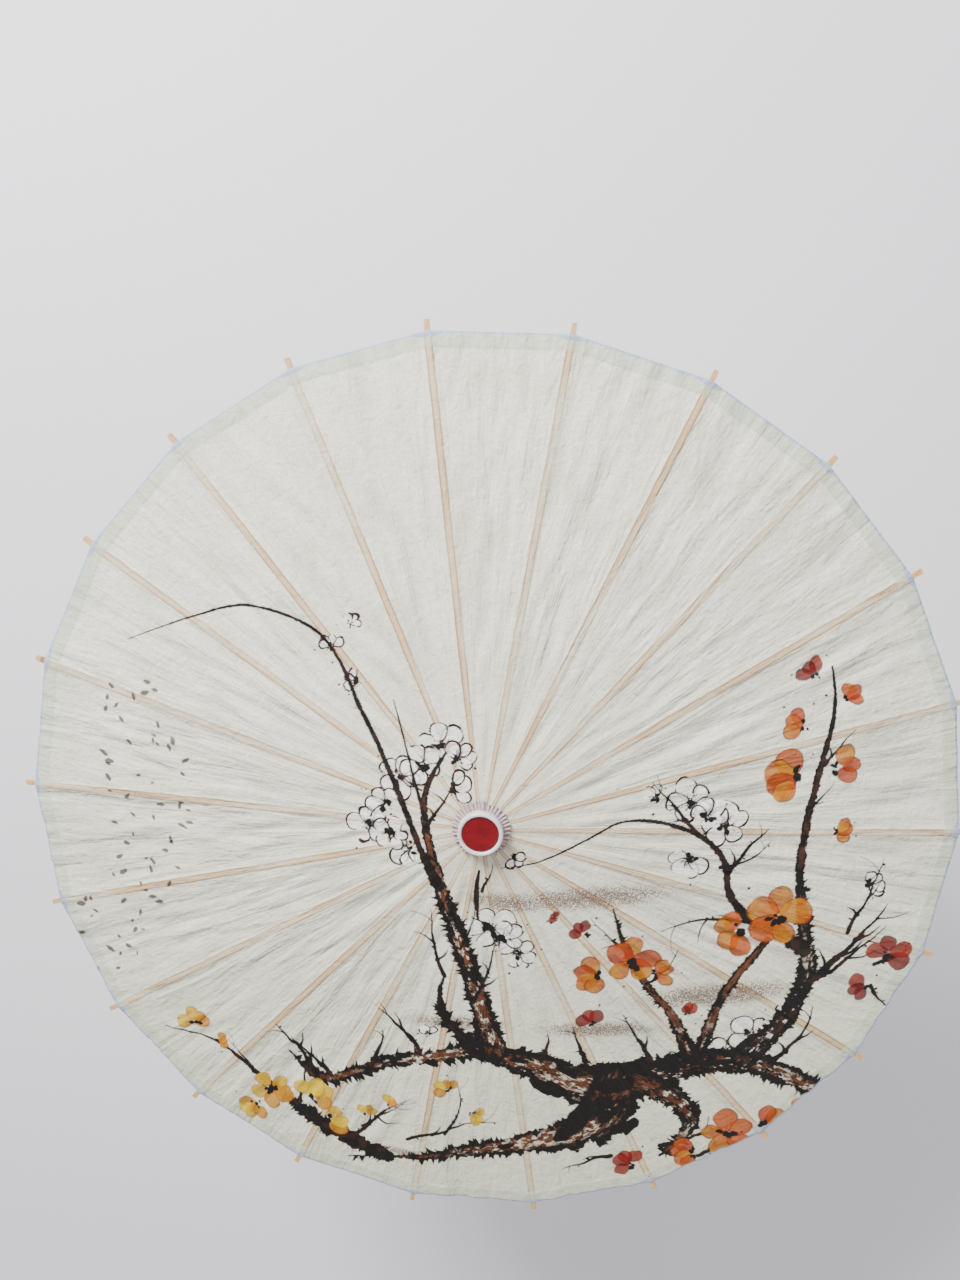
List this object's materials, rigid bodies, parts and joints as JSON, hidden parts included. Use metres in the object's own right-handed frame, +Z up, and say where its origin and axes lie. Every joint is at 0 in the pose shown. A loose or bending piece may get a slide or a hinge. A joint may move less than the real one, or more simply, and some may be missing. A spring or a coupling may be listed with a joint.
{
  "type": "oil paper umbrella",
  "caption": "Folding parasol of oiled paper on bamboo ribs and struts that meet a sliding runner on a wooden shaft with a turned grip.",
  "frame": {"origin": "centre of the flat bottom end of the handle", "axes": "+Z up the shaft to the hub, +X along the first rib"},
  "size_m": [0.8404, 0.8324, 0.545],
  "materials": {
    "bamboo": "split bamboo, scraped smooth",
    "light_wood": "turned wood, clear varnish",
    "dark_wood": "stained turned wood, varnished",
    "oiled_paper": "oiled mulberry paper, hand-painted",
    "white_plastic": "glossy",
    "red_lacquer": "glossy",
    "cotton_thread": "twisted cotton thread",
    "spring_steel": "bright spring plate"
  },
  "bodies": {
    "shaft": {"shaft": "light_wood", "hub": "light_wood", "hub_pin": "bamboo", "hub_thread": "cotton_thread", "paper_collar": "oiled_paper", "head_ring": "white_plastic", "head_disc": "red_lacquer", "grip": "dark_wood", "grip_cap": "dark_wood", "catch_pin": "spring_steel", "canopy_paper": "oiled_paper", "joint_thread": "cotton_thread", "rim_thread": "cotton_thread"},
    "rib_01": {"rib_01": "bamboo"},
    "rib_02": {"rib_02": "bamboo"},
    "rib_03": {"rib_03": "bamboo"},
    "rib_04": {"rib_04": "bamboo"},
    "rib_05": {"rib_05": "bamboo"},
    "rib_06": {"rib_06": "bamboo"},
    "rib_07": {"rib_07": "bamboo"},
    "rib_08": {"rib_08": "bamboo"},
    "rib_09": {"rib_09": "bamboo"},
    "rib_10": {"rib_10": "bamboo"},
    "rib_11": {"rib_11": "bamboo"},
    "rib_12": {"rib_12": "bamboo"},
    "rib_13": {"rib_13": "bamboo"},
    "rib_14": {"rib_14": "bamboo"},
    "rib_15": {"rib_15": "bamboo"},
    "rib_16": {"rib_16": "bamboo"},
    "rib_17": {"rib_17": "bamboo"},
    "rib_18": {"rib_18": "bamboo"},
    "rib_19": {"rib_19": "bamboo"},
    "rib_20": {"rib_20": "bamboo"},
    "rib_21": {"rib_21": "bamboo"},
    "rib_22": {"rib_22": "bamboo"},
    "strut_01": {"strut_01": "bamboo"},
    "strut_02": {"strut_02": "bamboo"},
    "strut_03": {"strut_03": "bamboo"},
    "strut_04": {"strut_04": "bamboo"},
    "strut_05": {"strut_05": "bamboo"},
    "strut_06": {"strut_06": "bamboo"},
    "strut_07": {"strut_07": "bamboo"},
    "strut_08": {"strut_08": "bamboo"},
    "strut_09": {"strut_09": "bamboo"},
    "strut_10": {"strut_10": "bamboo"},
    "strut_11": {"strut_11": "bamboo"},
    "strut_12": {"strut_12": "bamboo"},
    "strut_13": {"strut_13": "bamboo"},
    "strut_14": {"strut_14": "bamboo"},
    "strut_15": {"strut_15": "bamboo"},
    "strut_16": {"strut_16": "bamboo"},
    "strut_17": {"strut_17": "bamboo"},
    "strut_18": {"strut_18": "bamboo"},
    "strut_19": {"strut_19": "bamboo"},
    "strut_20": {"strut_20": "bamboo"},
    "strut_21": {"strut_21": "bamboo"},
    "strut_22": {"strut_22": "bamboo"},
    "runner": {"runner": "light_wood", "runner_thread": "cotton_thread"},
    "runner_catch": {"runner_catch": "spring_steel"}
  },
  "joints": [
    {"name": "fold", "type": "hinge", "parent": "shaft", "child": "rib_01", "pos_m": [0.014, 0, 0.53], "axis": [0, 1, 0], "range_deg": [0, 81], "deforming": ["canopy_paper", "joint_thread", "rim_thread", "runner_catch"]},
    {"name": "strut_01_swing", "type": "hinge", "parent": "rib_01", "child": "strut_01", "pos_m": [0.20258, 0, 0.50684], "axis": [0, 1, 0], "range_deg": [-162, 0]},
    {"name": "rib_02_fold", "type": "hinge", "parent": "shaft", "child": "rib_02", "pos_m": [0.01343, 0.00394, 0.53], "axis": [-0.2817, 0.9595, 0], "range_deg": [0, 81]},
    {"name": "strut_02_swing", "type": "hinge", "parent": "rib_02", "child": "strut_02", "pos_m": [0.19438, 0.05707, 0.50684], "axis": [-0.2817, 0.9595, 0], "range_deg": [-162, 0]},
    {"name": "rib_03_fold", "type": "hinge", "parent": "shaft", "child": "rib_03", "pos_m": [0.01178, 0.00757, 0.53], "axis": [-0.5406, 0.8413, 0], "range_deg": [0, 81]},
    {"name": "strut_03_swing", "type": "hinge", "parent": "rib_03", "child": "strut_03", "pos_m": [0.17042, 0.10952, 0.50684], "axis": [-0.5406, 0.8413, 0], "range_deg": [-162, 0]},
    {"name": "rib_04_fold", "type": "hinge", "parent": "shaft", "child": "rib_04", "pos_m": [0.00917, 0.01058, 0.53], "axis": [-0.7557, 0.6549, 0], "range_deg": [0, 81]},
    {"name": "strut_04_swing", "type": "hinge", "parent": "rib_04", "child": "strut_04", "pos_m": [0.13266, 0.1531, 0.50684], "axis": [-0.7557, 0.6549, 0], "range_deg": [-162, 0]},
    {"name": "rib_05_fold", "type": "hinge", "parent": "shaft", "child": "rib_05", "pos_m": [0.00582, 0.01273, 0.53], "axis": [-0.9096, 0.4154, 0], "range_deg": [0, 81]},
    {"name": "strut_05_swing", "type": "hinge", "parent": "rib_05", "child": "strut_05", "pos_m": [0.08416, 0.18428, 0.50684], "axis": [-0.9096, 0.4154, 0], "range_deg": [-162, 0]},
    {"name": "rib_06_fold", "type": "hinge", "parent": "shaft", "child": "rib_06", "pos_m": [0.00199, 0.01386, 0.53], "axis": [-0.9898, 0.1423, 0], "range_deg": [0, 81]},
    {"name": "strut_06_swing", "type": "hinge", "parent": "rib_06", "child": "strut_06", "pos_m": [0.02883, 0.20052, 0.50684], "axis": [-0.9898, 0.1423, 0], "range_deg": [-162, 0]},
    {"name": "rib_07_fold", "type": "hinge", "parent": "shaft", "child": "rib_07", "pos_m": [-0.00199, 0.01386, 0.53], "axis": [-0.9898, -0.1423, 0], "range_deg": [0, 81]},
    {"name": "strut_07_swing", "type": "hinge", "parent": "rib_07", "child": "strut_07", "pos_m": [-0.02883, 0.20052, 0.50684], "axis": [-0.9898, -0.1423, 0], "range_deg": [-162, 0]},
    {"name": "rib_08_fold", "type": "hinge", "parent": "shaft", "child": "rib_08", "pos_m": [-0.00582, 0.01273, 0.53], "axis": [-0.9096, -0.4154, 0], "range_deg": [0, 81]},
    {"name": "strut_08_swing", "type": "hinge", "parent": "rib_08", "child": "strut_08", "pos_m": [-0.08416, 0.18428, 0.50684], "axis": [-0.9096, -0.4154, 0], "range_deg": [-162, 0]},
    {"name": "rib_09_fold", "type": "hinge", "parent": "shaft", "child": "rib_09", "pos_m": [-0.00917, 0.01058, 0.53], "axis": [-0.7557, -0.6549, 0], "range_deg": [0, 81]},
    {"name": "strut_09_swing", "type": "hinge", "parent": "rib_09", "child": "strut_09", "pos_m": [-0.13266, 0.1531, 0.50684], "axis": [-0.7557, -0.6549, 0], "range_deg": [-162, 0]},
    {"name": "rib_10_fold", "type": "hinge", "parent": "shaft", "child": "rib_10", "pos_m": [-0.01178, 0.00757, 0.53], "axis": [-0.5406, -0.8413, 0], "range_deg": [0, 81]},
    {"name": "strut_10_swing", "type": "hinge", "parent": "rib_10", "child": "strut_10", "pos_m": [-0.17042, 0.10952, 0.50684], "axis": [-0.5406, -0.8413, 0], "range_deg": [-162, 0]},
    {"name": "rib_11_fold", "type": "hinge", "parent": "shaft", "child": "rib_11", "pos_m": [-0.01343, 0.00394, 0.53], "axis": [-0.2817, -0.9595, 0], "range_deg": [0, 81]},
    {"name": "strut_11_swing", "type": "hinge", "parent": "rib_11", "child": "strut_11", "pos_m": [-0.19438, 0.05707, 0.50684], "axis": [-0.2817, -0.9595, 0], "range_deg": [-162, 0]},
    {"name": "rib_12_fold", "type": "hinge", "parent": "shaft", "child": "rib_12", "pos_m": [-0.014, 0, 0.53], "axis": [0, -1, 0], "range_deg": [0, 81]},
    {"name": "strut_12_swing", "type": "hinge", "parent": "rib_12", "child": "strut_12", "pos_m": [-0.20258, 0, 0.50684], "axis": [0, -1, 0], "range_deg": [-162, 0]},
    {"name": "rib_13_fold", "type": "hinge", "parent": "shaft", "child": "rib_13", "pos_m": [-0.01343, -0.00394, 0.53], "axis": [0.2817, -0.9595, 0], "range_deg": [0, 81]},
    {"name": "strut_13_swing", "type": "hinge", "parent": "rib_13", "child": "strut_13", "pos_m": [-0.19438, -0.05707, 0.50684], "axis": [0.2817, -0.9595, 0], "range_deg": [-162, 0]},
    {"name": "rib_14_fold", "type": "hinge", "parent": "shaft", "child": "rib_14", "pos_m": [-0.01178, -0.00757, 0.53], "axis": [0.5406, -0.8413, 0], "range_deg": [0, 81]},
    {"name": "strut_14_swing", "type": "hinge", "parent": "rib_14", "child": "strut_14", "pos_m": [-0.17042, -0.10952, 0.50684], "axis": [0.5406, -0.8413, 0], "range_deg": [-162, 0]},
    {"name": "rib_15_fold", "type": "hinge", "parent": "shaft", "child": "rib_15", "pos_m": [-0.00917, -0.01058, 0.53], "axis": [0.7557, -0.6549, 0], "range_deg": [0, 81]},
    {"name": "strut_15_swing", "type": "hinge", "parent": "rib_15", "child": "strut_15", "pos_m": [-0.13266, -0.1531, 0.50684], "axis": [0.7557, -0.6549, 0], "range_deg": [-162, 0]},
    {"name": "rib_16_fold", "type": "hinge", "parent": "shaft", "child": "rib_16", "pos_m": [-0.00582, -0.01273, 0.53], "axis": [0.9096, -0.4154, 0], "range_deg": [0, 81]},
    {"name": "strut_16_swing", "type": "hinge", "parent": "rib_16", "child": "strut_16", "pos_m": [-0.08416, -0.18428, 0.50684], "axis": [0.9096, -0.4154, 0], "range_deg": [-162, 0]},
    {"name": "rib_17_fold", "type": "hinge", "parent": "shaft", "child": "rib_17", "pos_m": [-0.00199, -0.01386, 0.53], "axis": [0.9898, -0.1423, 0], "range_deg": [0, 81]},
    {"name": "strut_17_swing", "type": "hinge", "parent": "rib_17", "child": "strut_17", "pos_m": [-0.02883, -0.20052, 0.50684], "axis": [0.9898, -0.1423, 0], "range_deg": [-162, 0]},
    {"name": "rib_18_fold", "type": "hinge", "parent": "shaft", "child": "rib_18", "pos_m": [0.00199, -0.01386, 0.53], "axis": [0.9898, 0.1423, 0], "range_deg": [0, 81]},
    {"name": "strut_18_swing", "type": "hinge", "parent": "rib_18", "child": "strut_18", "pos_m": [0.02883, -0.20052, 0.50684], "axis": [0.9898, 0.1423, 0], "range_deg": [-162, 0]},
    {"name": "rib_19_fold", "type": "hinge", "parent": "shaft", "child": "rib_19", "pos_m": [0.00582, -0.01273, 0.53], "axis": [0.9096, 0.4154, 0], "range_deg": [0, 81]},
    {"name": "strut_19_swing", "type": "hinge", "parent": "rib_19", "child": "strut_19", "pos_m": [0.08416, -0.18428, 0.50684], "axis": [0.9096, 0.4154, 0], "range_deg": [-162, 0]},
    {"name": "rib_20_fold", "type": "hinge", "parent": "shaft", "child": "rib_20", "pos_m": [0.00917, -0.01058, 0.53], "axis": [0.7557, 0.6549, 0], "range_deg": [0, 81]},
    {"name": "strut_20_swing", "type": "hinge", "parent": "rib_20", "child": "strut_20", "pos_m": [0.13266, -0.1531, 0.50684], "axis": [0.7557, 0.6549, 0], "range_deg": [-162, 0]},
    {"name": "rib_21_fold", "type": "hinge", "parent": "shaft", "child": "rib_21", "pos_m": [0.01178, -0.00757, 0.53], "axis": [0.5406, 0.8413, 0], "range_deg": [0, 81]},
    {"name": "strut_21_swing", "type": "hinge", "parent": "rib_21", "child": "strut_21", "pos_m": [0.17042, -0.10952, 0.50684], "axis": [0.5406, 0.8413, 0], "range_deg": [-162, 0]},
    {"name": "rib_22_fold", "type": "hinge", "parent": "shaft", "child": "rib_22", "pos_m": [0.01343, -0.00394, 0.53], "axis": [0.2817, 0.9595, 0], "range_deg": [0, 81]},
    {"name": "strut_22_swing", "type": "hinge", "parent": "rib_22", "child": "strut_22", "pos_m": [0.19438, -0.05707, 0.50684], "axis": [0.2817, 0.9595, 0], "range_deg": [-162, 0]},
    {"name": "runner_swing", "type": "hinge", "parent": "strut_01", "child": "runner", "pos_m": [0.014, 0, 0.48369], "axis": [0, 1, 0], "range_deg": [0, 81]},
    {"name": "catch_press", "type": "hinge", "parent": "shaft", "child": "runner_catch", "pos_m": [0.001, 0, 0.42339], "axis": [0, -1, 0], "range_deg": [0, 8], "stiffness_Nm_per_rad": 0.1, "springref_deg": -11.46}
  ],
  "couplings": [
    {"joint": "strut_01_swing", "follows": "fold", "ratio": -2},
    {"joint": "rib_02_fold", "follows": "fold", "ratio": 1},
    {"joint": "strut_02_swing", "follows": "fold", "ratio": -2},
    {"joint": "rib_03_fold", "follows": "fold", "ratio": 1},
    {"joint": "strut_03_swing", "follows": "fold", "ratio": -2},
    {"joint": "rib_04_fold", "follows": "fold", "ratio": 1},
    {"joint": "strut_04_swing", "follows": "fold", "ratio": -2},
    {"joint": "rib_05_fold", "follows": "fold", "ratio": 1},
    {"joint": "strut_05_swing", "follows": "fold", "ratio": -2},
    {"joint": "rib_06_fold", "follows": "fold", "ratio": 1},
    {"joint": "strut_06_swing", "follows": "fold", "ratio": -2},
    {"joint": "rib_07_fold", "follows": "fold", "ratio": 1},
    {"joint": "strut_07_swing", "follows": "fold", "ratio": -2},
    {"joint": "rib_08_fold", "follows": "fold", "ratio": 1},
    {"joint": "strut_08_swing", "follows": "fold", "ratio": -2},
    {"joint": "rib_09_fold", "follows": "fold", "ratio": 1},
    {"joint": "strut_09_swing", "follows": "fold", "ratio": -2},
    {"joint": "rib_10_fold", "follows": "fold", "ratio": 1},
    {"joint": "strut_10_swing", "follows": "fold", "ratio": -2},
    {"joint": "rib_11_fold", "follows": "fold", "ratio": 1},
    {"joint": "strut_11_swing", "follows": "fold", "ratio": -2},
    {"joint": "rib_12_fold", "follows": "fold", "ratio": 1},
    {"joint": "strut_12_swing", "follows": "fold", "ratio": -2},
    {"joint": "rib_13_fold", "follows": "fold", "ratio": 1},
    {"joint": "strut_13_swing", "follows": "fold", "ratio": -2},
    {"joint": "rib_14_fold", "follows": "fold", "ratio": 1},
    {"joint": "strut_14_swing", "follows": "fold", "ratio": -2},
    {"joint": "rib_15_fold", "follows": "fold", "ratio": 1},
    {"joint": "strut_15_swing", "follows": "fold", "ratio": -2},
    {"joint": "rib_16_fold", "follows": "fold", "ratio": 1},
    {"joint": "strut_16_swing", "follows": "fold", "ratio": -2},
    {"joint": "rib_17_fold", "follows": "fold", "ratio": 1},
    {"joint": "strut_17_swing", "follows": "fold", "ratio": -2},
    {"joint": "rib_18_fold", "follows": "fold", "ratio": 1},
    {"joint": "strut_18_swing", "follows": "fold", "ratio": -2},
    {"joint": "rib_19_fold", "follows": "fold", "ratio": 1},
    {"joint": "strut_19_swing", "follows": "fold", "ratio": -2},
    {"joint": "rib_20_fold", "follows": "fold", "ratio": 1},
    {"joint": "strut_20_swing", "follows": "fold", "ratio": -2},
    {"joint": "rib_21_fold", "follows": "fold", "ratio": 1},
    {"joint": "strut_21_swing", "follows": "fold", "ratio": -2},
    {"joint": "rib_22_fold", "follows": "fold", "ratio": 1},
    {"joint": "strut_22_swing", "follows": "fold", "ratio": -2},
    {"joint": "runner_swing", "follows": "fold", "ratio": 1}
  ]
}
